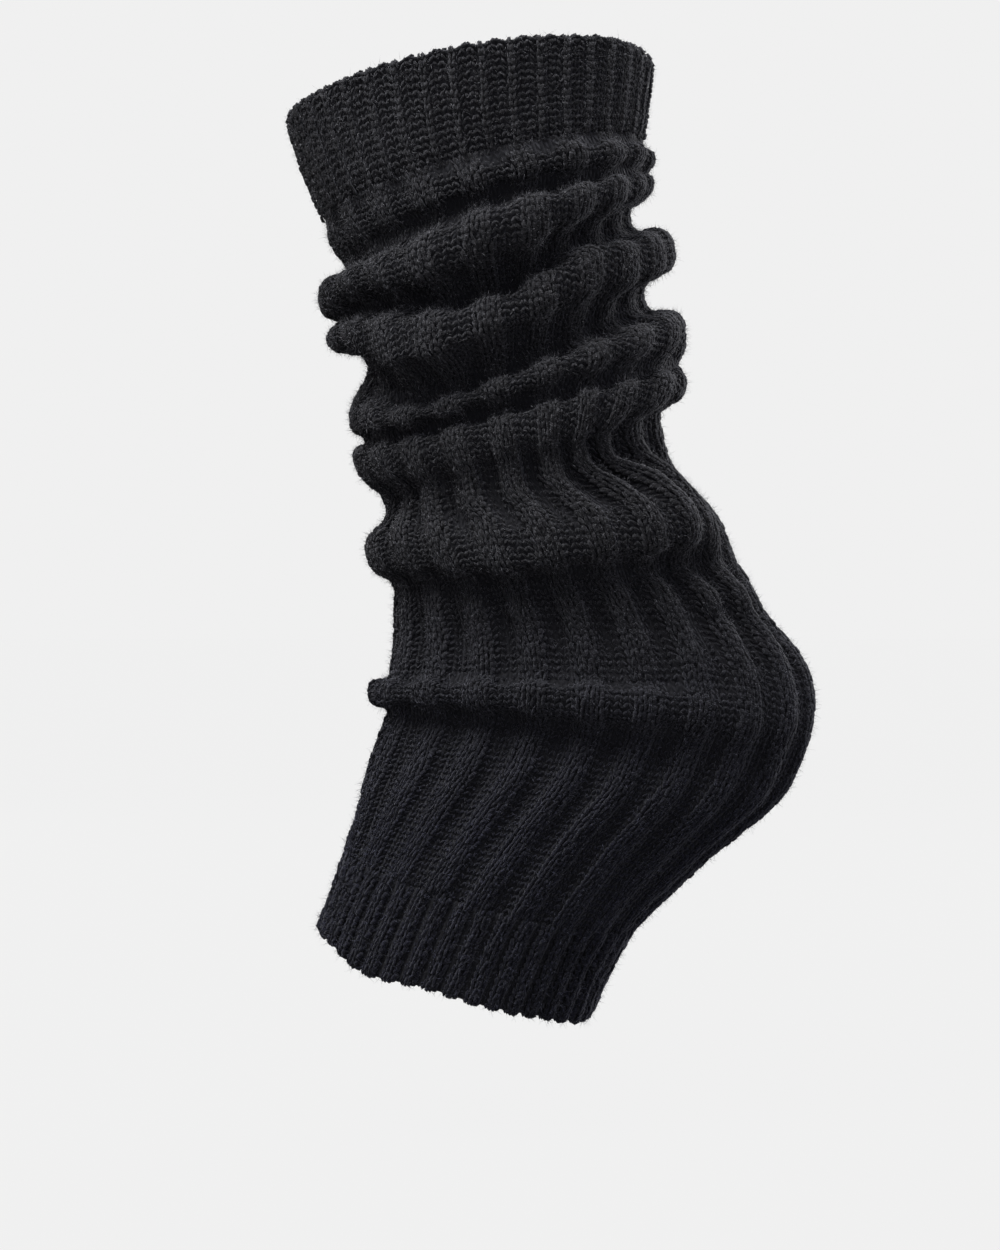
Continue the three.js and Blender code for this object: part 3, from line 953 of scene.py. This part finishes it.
@dataclass(frozen=True)
class FuzzFinish(ClothFinish):
    """The loose fibres that stand off the yarn, painted a little paler than it as a glint of the light they
    catch, and darker and bluer towards the foot as painted shade.
    """

    name: str = "black_fuzz"
    dark: Colour = (0.02, 0.02, 0.024)
    # painted glint: fibres this pale stand for black fibres that catch the light
    light: Colour = (0.5, 0.5, 0.54)
    # painted shade: the fibres' pale colour at the foot, darker and bluer
    painted_shade_foot_light: Colour = (0.2, 0.21, 0.31)
    roughness: float = 0.8
    specular: float = 0.3
    sheen: float = 0.3
    sheen_roughness: float = 0.4
    sheen_tint: Colour = (0.55, 0.56, 0.62)
    tone_scale: float = 900.0
    tone_detail: float = 1.0
    tone_range: Pair = (0.47, 0.72)

    def make(self) -> Material:
        """Builds the material, each fibre in its own tone, with the painted shade towards the foot."""
        nodes = Nodes(bpy.data.materials.new(self.name))
        place = nodes.add("ShaderNodeTexCoord")
        tone = nodes.noise(place, self.tone_scale, self.tone_detail)
        spread = (nodes.ranged((tone, "Fac"), self.tone_range), "Result")
        upper = nodes.blend(spread, self.dark, self.light)
        # painted shade: the fibres' colours at the foot
        lower = nodes.blend(spread, self.dark, self.painted_shade_foot_light)
        return self.shade(nodes, nodes.painted_foot_shade(upper, lower, place))


def placed(name: str, mesh: bpy.types.Mesh, material: Material) -> bpy.types.Object:
    """Links a mesh to the scene as a smooth piece that rides on the garment's body."""
    mesh.polygons.foreach_set("use_smooth", np.ones(len(mesh.polygons), bool))
    mesh.materials.append(material)
    obj = bpy.data.objects.new(name, mesh)
    bpy.context.scene.collection.objects.link(obj)
    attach(obj, BODY)
    return obj


def repeated(name: str, template: Template, corners: Array, material: Material) -> bpy.types.Object:
    """Joins many copies of a template into one piece, each with its own cell in the bake's map.

    Args:
        name: the piece's name.
        template: the repeated shape.
        corners: each copy's points in metres, copies along the first axis.
        material: its finish.

    Returns:
        The piece.
    """
    count = len(corners)
    loops = (template.loops[None, :] + np.arange(count)[:, None] * len(template.corners)).ravel()
    starts = (template.starts[None, :] + np.arange(count)[:, None] * len(template.loops)).ravel()
    side = math.ceil(math.sqrt(count))
    cell = np.stack([np.arange(count) % side, np.arange(count) // side], -1)[:, None, :]
    strip = np.broadcast_to(template.strip[None], (count, *template.strip.shape))
    bake = (cell + CELL_MARGIN + (1 - 2 * CELL_MARGIN) * strip) / side
    mesh = bpy.data.meshes.new(name)
    mesh.vertices.add(corners.size // 3)
    mesh.vertices.foreach_set("co", corners.astype(np.float32).ravel())
    mesh.loops.add(len(loops))
    mesh.loops.foreach_set("vertex_index", loops.astype(np.int32))
    mesh.polygons.add(len(starts))
    mesh.polygons.foreach_set("loop_start", starts.astype(np.int32))
    mesh.update(calc_edges=True)
    for map_name, places in (("Strip", strip), ("OFBake", bake)):
        layer = mesh.uv_layers.new(name=map_name)
        layer.data.foreach_set("uv", places.astype(np.float32).ravel())
    return placed(name, mesh, material)


@dataclass
class Stitches:
    """The stitches of one stretch of a knitted piece, as strands of yarn laid on the fabric."""

    fabric: Fabric
    name: str
    rib: Rib
    first_course: int
    last_course: int
    seed: int
    wale_width: float = 2.7
    course_height: float = 2.25
    lay_jitter: float = 0.06
    lift_jitter: float = 0.14
    width_jitter: float = 0.14

    def build(self, template: Template, material: Material) -> bpy.types.Object:
        """Lays every strand and joins them into one piece.

        Args:
            template: the strand's shape.
            material: the yarn's finish.

        Returns:
            The piece.
        """
        rng = np.random.default_rng(self.seed)
        courses = np.arange(self.first_course, self.last_course)
        laid = []
        for wale in range(PATTERN_WALES):
            places = np.arange(wale, WALES, PATTERN_WALES)
            grid_wale, grid_course = [g.ravel() for g in np.meshgrid(places, courses)]
            for strand in STRANDS[self.rib.loops[wale]]:
                laid.append(self.lay(strand, template, grid_wale + 0.5, grid_course + 0.5, rng))
        return repeated(self.name, template, np.concatenate(laid), material)

    def lay(self, strand: Strand, template: Template, wale: Array, course: Array,
            rng: np.random.Generator) -> Array:
        """Bends the template along one kind of strand at every stitch.

        Args:
            strand: the strand's path and size.
            template: its shape.
            wale: the stitches' places round the tube.
            course: their places down it.
            rng: where the small differences between stitches come from.

        Returns:
            Points in metres, stitches along the first axis.
        """
        t, side, out = template.corners.T
        start, middle, end = (np.array(p)[:, None] for p in (strand.start, strand.middle, strand.end))
        path = start * t * (t - 1) / 2 + middle * (1 - t * t) + end * t * (t + 1) / 2
        heading = start * (2 * t - 1) / 2 - middle * 2 * t + end * (2 * t + 1) / 2
        run_x, run_y = heading[0] * self.wale_width, heading[1] * self.course_height
        length = np.hypot(run_x, run_y)
        count = len(wale)
        width = strand.half_width * self.rib.fullness * (1 + rng.normal(0, self.width_jitter, (count, 1)))
        lay_x, lay_y = rng.normal(0, self.lay_jitter, (2, count, 1))
        lift = rng.normal(0, self.lift_jitter, (count, 1))
        x = wale[:, None] + lay_x + path[0] - side * run_y / length * width / self.wale_width
        y = course[:, None] + lay_y + path[1] + side * run_x / length * width / self.course_height
        z = lift + path[2] + out * strand.height
        return self.fabric.at(x, y, z)


@dataclass
class Fuzz:
    """Short loose fibres that stand off one stretch of the fabric all ways, most of them on its ribs."""

    fabric: Fabric
    name: str
    rib: Rib
    first_course: float
    last_course: float
    count: int
    seed: int
    length: Pair = (1.0, 3.2)
    radius: float = 0.04
    on_ribs: float = 0.62
    root_height: Pair = (0.2, 0.7)
    tip_height: float = 1.7
    spread: float = 0.9
    lift: float = 0.35

    def build(self, template: Template, material: Material) -> bpy.types.Object:
        """Scatters the fibres and joins them into one piece.

        Args:
            template: one fibre.
            material: their finish.

        Returns:
            The piece.
        """
        rng = np.random.default_rng(self.seed)
        wale = rng.uniform(0, WALES, self.count)
        standing = np.array([loop is not Loop.PURL for loop in self.rib.loops])
        moved = ~standing[wale.astype(int) % PATTERN_WALES] & (rng.random(self.count) < self.on_ribs)
        on_rib = rng.choice(np.flatnonzero(standing), moved.sum()) + rng.random(moved.sum())
        wale[moved] = on_rib + PATTERN_WALES * rng.integers(0, WIDE_RIBS, moved.sum())
        course = rng.uniform(self.first_course, self.last_course, self.count)
        root = self.fabric.at(wale, course, rng.uniform(*self.root_height, self.count))
        outward = unit(self.fabric.at(wale, course, np.full(self.count, self.tip_height)) - root)
        heading = unit(rng.normal(size=(self.count, 3)) * self.spread + outward * self.lift)
        reach = rng.uniform(*self.length, self.count)[:, None] * MM
        side = unit(np.cross(heading, rng.normal(size=(self.count, 3))))
        third = np.cross(heading, side)
        t, a, b = (template.corners[:, k][None, :, None] for k in range(3))
        corners = (root[:, None] + heading[:, None] * reach[:, None] * (t + 1) / 2
                   + (side[:, None] * a + third[:, None] * b) * self.radius * MM)
        return repeated(self.name, template, corners, material)


@dataclass
class Ground:
    """The cloth of one knitted piece under its strands: a closed wall that stands for the piece's solid."""

    fabric: Fabric
    piece: Knitted
    first_course: int
    sink: float = 0.3
    rim_height: float = 0.2
    seam: float = 0.01
    courses_to_a_row: int = 2

    def build(self, material: Material) -> bpy.types.Object:
        """Rolls a grid into the wall: down the outside, round the lower edge and up the inside.

        Args:
            material: its finish.

        Returns:
            The piece, in place of its solid.
        """
        places = self.wall_points()
        rows = len(places)
        bm = bmesh.new()
        bmesh.ops.create_grid(bm, x_segments=WALES, y_segments=rows, size=1.0)
        bake, cloth = bm.loops.layers.uv.new("OFBake"), bm.loops.layers.uv.new("Cloth")
        for face in bm.faces:
            for loop in face.loops:
                u, v = (loop.vert.co.x + 1) / 2, (loop.vert.co.y + 1) / 2
                loop[bake].uv = [MAP_MARGIN + (1 - 2 * MAP_MARGIN) * place for place in (u, v)]
                loop[cloth].uv = (u * WALES, v * rows * self.courses_to_a_row)
        for vert in bm.verts:
            column, row = (round((axis + 1) / 2 * steps) for axis, steps in zip(vert.co, (WALES, rows)))
            vert.co = places[row % rows, column % WALES]
        bmesh.ops.remove_doubles(bm, verts=bm.verts, dist=SAME_POINT)
        bmesh.ops.recalc_face_normals(bm, faces=bm.faces)
        if bm.calc_volume(signed=True) < 0:
            bmesh.ops.reverse_faces(bm, faces=bm.faces)
        mesh = bpy.data.meshes.new(self.piece.node + "_ground")
        bm.to_mesh(mesh)
        bm.free()
        obj = placed(self.piece.node + "_ground", mesh, material)
        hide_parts(self.piece.node)
        return obj

    def wall_points(self) -> Array:
        """The points of every row of the wall, in metres, all the way round its section."""
        start, end = self.first_course, self.first_course + self.piece.courses
        rim = self.fabric.turn_courses
        wale = np.arange(WALES, dtype=float)
        rows = round(self.piece.courses / self.courses_to_a_row)
        outer = np.linspace(start + self.seam, end - self.seam, rows + 1)
        lip = np.arange(1, rim * GRID_STEPS + 1) / GRID_STEPS
        if start == 0:
            outer = np.concatenate([-lip[::-1], outer])
        if end == self.fabric.total_courses:
            outer = np.concatenate([outer, end + lip])
        inner = np.linspace(end - self.seam, start + self.seam, rows)
        past = (outer < 0) | (outer > self.fabric.total_courses)
        heights = np.where(past, self.rim_height, -self.sink)
        outside = [self.fabric.at(wale, np.full(WALES, c), np.full(WALES, h)) for c, h in zip(outer, heights)]
        inside = [self.fabric.lining_at(wale, np.full(WALES, course)) for course in inner]
        return np.array(outside + inside)


@dataclass
class LegWarmer:
    """The whole garment: two fine-ribbed cuffs and a wide-ribbed body, with their strands and fuzz."""

    body_courses: int = 146
    calf_cuff_courses: int = 14
    foot_cuff_courses: int = 13
    body_stretches: tuple[str, ...] = ("first_rolls", "twin_rolls", "ankle_bag", "heel", "instep")
    strands_inside: tuple[int, int] = (8, 6)
    strand_seed: int = 60
    fuzz_fibres: int = 90000
    fuzz_seed: int = 90
    girth_step: float = 0.5

    def build(self) -> None:
        """Builds the ground, the strands and the fuzz of each piece."""
        sleeve = Sleeve()
        last = sleeve.last_line
        pieces = (
            Knitted("calf_cuff", 0, 1, self.calf_cuff_courses, CALF_RIB),
            Knitted("body", 1, last - 1, self.body_courses, BODY_RIB),
            Knitted("foot_cuff", last - 1, last, self.foot_cuff_courses, FOOT_RIB),
        )
        fabric = Fabric(sleeve, pieces)
        for node, height in fabric.mean_course.items():
            log.info("%s: a course is %.2f mm", node, height)
        yarn, ground, fuzz = YarnFinish().make(), GroundFinish().make(), FuzzFinish().make()
        strand, fibre = strand_template(), fibre_template()
        start = 0
        for piece in pieces:
            cloth = Ground(fabric, piece, start).build(ground)
            on_it = self.stitches_of(fabric, piece, start, strand, yarn)
            on_it += self.fuzz_of(fabric, piece, start, fibre, fuzz)
            start += piece.courses
        log.info("fabric: %d courses of %d stitches", fabric.total_courses, WALES)

    def stretches(self, piece: Knitted, lone: str, first: int, last: int) -> list[tuple[str, float, float]]:
        """Splits the body's courses into its stretches, and leaves a cuff whole: their names and edges."""
        names = self.body_stretches if piece.node == "body" else (lone,)
        edges = np.linspace(first, last, len(names) + 1)
        return [(f"{piece.node}_{name}", *pair) for name, *pair in zip(names, edges[:-1], edges[1:])]

    def stitches_of(self, fabric: Fabric, piece: Knitted, start: int, strand: Template,
                    yarn: Material) -> list[bpy.types.Object]:
        """Lays the strands of one piece, and at a rim those that turn over it and run on inside.

        Args:
            fabric: what they are laid on.
            piece: the knitted piece.
            start: its first course.
            strand: the strand's shape.
            yarn: its finish.

        Returns:
            The pieces made.
        """
        first, last = start, start + piece.courses
        if first == 0:
            first -= fabric.turn_courses + self.strands_inside[0]
        if last == fabric.total_courses:
            last += fabric.turn_courses + self.strands_inside[1]
        made = []
        for name, *edges in self.stretches(piece, "strands", first, last):
            top, foot = (round(edge) for edge in edges)
            stretch = Stitches(fabric, name, piece.rib, top, foot, top + self.strand_seed)
            made.append(stretch.build(strand, yarn))
            log.info("%s: courses %d to %d, %d faces", name, top, foot, len(made[-1].data.polygons))
        return made

    def fuzz_of(self, fabric: Fabric, piece: Knitted, start: int, fibre: Template,
                finish: Material) -> list[bpy.types.Object]:
        """Scatters the loose fibres of one piece, and at a rim those of one course past it.

        Args:
            fabric: what they stand on.
            piece: the knitted piece.
            start: its first course.
            fibre: one fibre.
            finish: their finish.

        Returns:
            The pieces made.
        """
        first, last = start - (start == 0), start + piece.courses
        last += last == fabric.total_courses
        made = []
        for name, top, foot in self.stretches(piece, "rim", first, last):
            count = int(self.fuzz_fibres * piece.rib.fuzz * (foot - top) / fabric.total_courses)
            fuzz = Fuzz(fabric, name + "_fuzz", piece.rib, top, foot, count, int(top) + self.fuzz_seed)
            made.append(fuzz.build(fibre, finish))
        faces = sum(len(obj.data.polygons) for obj in made)
        log.info("%s: %d loose fibres", piece.node, faces // len(fibre.starts))
        return made


@dataclass(frozen=True)
class PaperFinish:
    """Matt white studio paper."""

    name: str = "studio_paper"
    colour: Colour = (0.006, 0.006, 0.006)
    glow: float = 0.866

    def make(self) -> Material:
        """Builds the material, which glows a little so that the floor is evenly pale."""
        nodes = Nodes(bpy.data.materials.new(self.name))
        shader = nodes.add(
            "ShaderNodeBsdfPrincipled", Roughness=1.0, Base_Color=(*self.colour, 1), Specular_IOR_Level=0.0,
            Emission_Color=(1, 1, 1, 1), Emission_Strength=self.glow,
        )
        nodes.link(shader, "BSDF", nodes.output, "Surface")
        return nodes.owner


@dataclass(frozen=True)
class Softbox:
    """A square soft light: where it stands, its light in watts, its side and its colour."""

    name: str
    place: Point
    power: float
    size: float
    colour: Colour = (1.0, 1.0, 1.0)

    def hang(self, aim: Point) -> None:
        """Adds the light, faced towards a point and out of the camera's sight."""
        lamp = bpy.data.lights.new(self.name, "AREA")
        lamp.energy, lamp.size, lamp.color = self.power, self.size, self.colour
        light = bpy.data.objects.new(self.name, lamp)
        light.location = self.place
        light.rotation_euler = (Vector(self.place) - Vector(aim)).to_track_quat("Z", "Y").to_euler()
        light.visible_camera = False
        bpy.context.scene.collection.objects.link(light)


@dataclass
class Studio:
    """A pale floor, soft light from above, the front and behind, and a camera level with the garment."""

    floor_height: float = -0.300
    floor_size: float = 60.0
    backdrop: float = 0.871
    sky: float = 0.19
    sky_colour: Colour = (1.0, 0.98, 1.0)
    softboxes: tuple[Softbox, ...] = (
        Softbox("soft_key", (-0.23, -0.37, 0.52), 6.3, 0.5),
        Softbox("front_fill", (0.4, -1.6, 0.0), 4.6, 1.2, (0.84, 0.86, 1.0)),
        Softbox("behind_left", (-0.8, 1.05, 0.3), 12.0, 0.9),
        Softbox("behind_right", (0.95, 0.85, 0.35), 15.0, 0.9),
    )
    aim: Point = (0.0084, 0.0, -0.1515)
    distance: float = 0.85
    view_height: float = 0.375
    sensor: float = 36.0
    clip: Pair = (0.01, 200.0)

    def build(self) -> None:
        """Sets the whole stage."""
        self.make_floor()
        self.make_sky()
        for softbox in self.softboxes:
            softbox.hang(self.aim)
        self.make_camera()

    def make_floor(self) -> None:
        """Lays the pale floor."""
        bm = bmesh.new()
        bmesh.ops.create_grid(bm, x_segments=1, y_segments=1, size=self.floor_size / 2)
        bmesh.ops.translate(bm, verts=bm.verts, vec=(0, 0, self.floor_height))
        mesh = bpy.data.meshes.new("studio_floor")
        bm.to_mesh(mesh)
        bm.free()
        mesh.materials.append(PaperFinish().make())
        floor = bpy.data.objects.new("studio_floor", mesh)
        bpy.context.scene.collection.objects.link(floor)
        floor.visible_diffuse = False
        floor.visible_glossy = False

    def make_sky(self) -> None:
        """Lights the room evenly, with a plain pale backdrop behind."""
        world = bpy.data.worlds.new("studio")
        nodes = Nodes(world, "ShaderNodeOutputWorld")
        seen = nodes.add("ShaderNodeBackground", Color=(1, 1, 1, 1), Strength=self.backdrop)
        light = nodes.add("ShaderNodeBackground", Color=(*self.sky_colour, 1), Strength=self.sky)
        mix = nodes.add("ShaderNodeMixShader")
        nodes.link(nodes.add("ShaderNodeLightPath"), "Is Camera Ray", mix, "Fac")
        nodes.link(light, 0, mix, 1)
        nodes.link(seen, 0, mix, 2)
        nodes.link(mix, 0, nodes.output, "Surface")
        bpy.context.scene.world = world

    def make_camera(self) -> None:
        """Adds the camera and fits its field to the picture's height."""
        camera = bpy.data.cameras.new("camera")
        camera.sensor_width = self.sensor
        camera.lens = self.sensor * self.distance / self.view_height
        camera.clip_start, camera.clip_end = self.clip
        eye = bpy.data.objects.new("camera", camera)
        eye.location = (self.aim[0], self.aim[1] - self.distance, self.aim[2])
        eye.rotation_euler = (math.radians(90), 0, 0)
        bpy.context.scene.collection.objects.link(eye)
        bpy.context.scene.camera = eye


def main() -> None:
    """Builds the garment and its studio."""
    logging.basicConfig(level=logging.INFO, format="%(name)s: %(message)s")
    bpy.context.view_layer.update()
    bpy.context.scene.view_settings.view_transform = "Standard"
    LegWarmer().build()
    Studio().build()


if __name__ == "__main__":
    main()
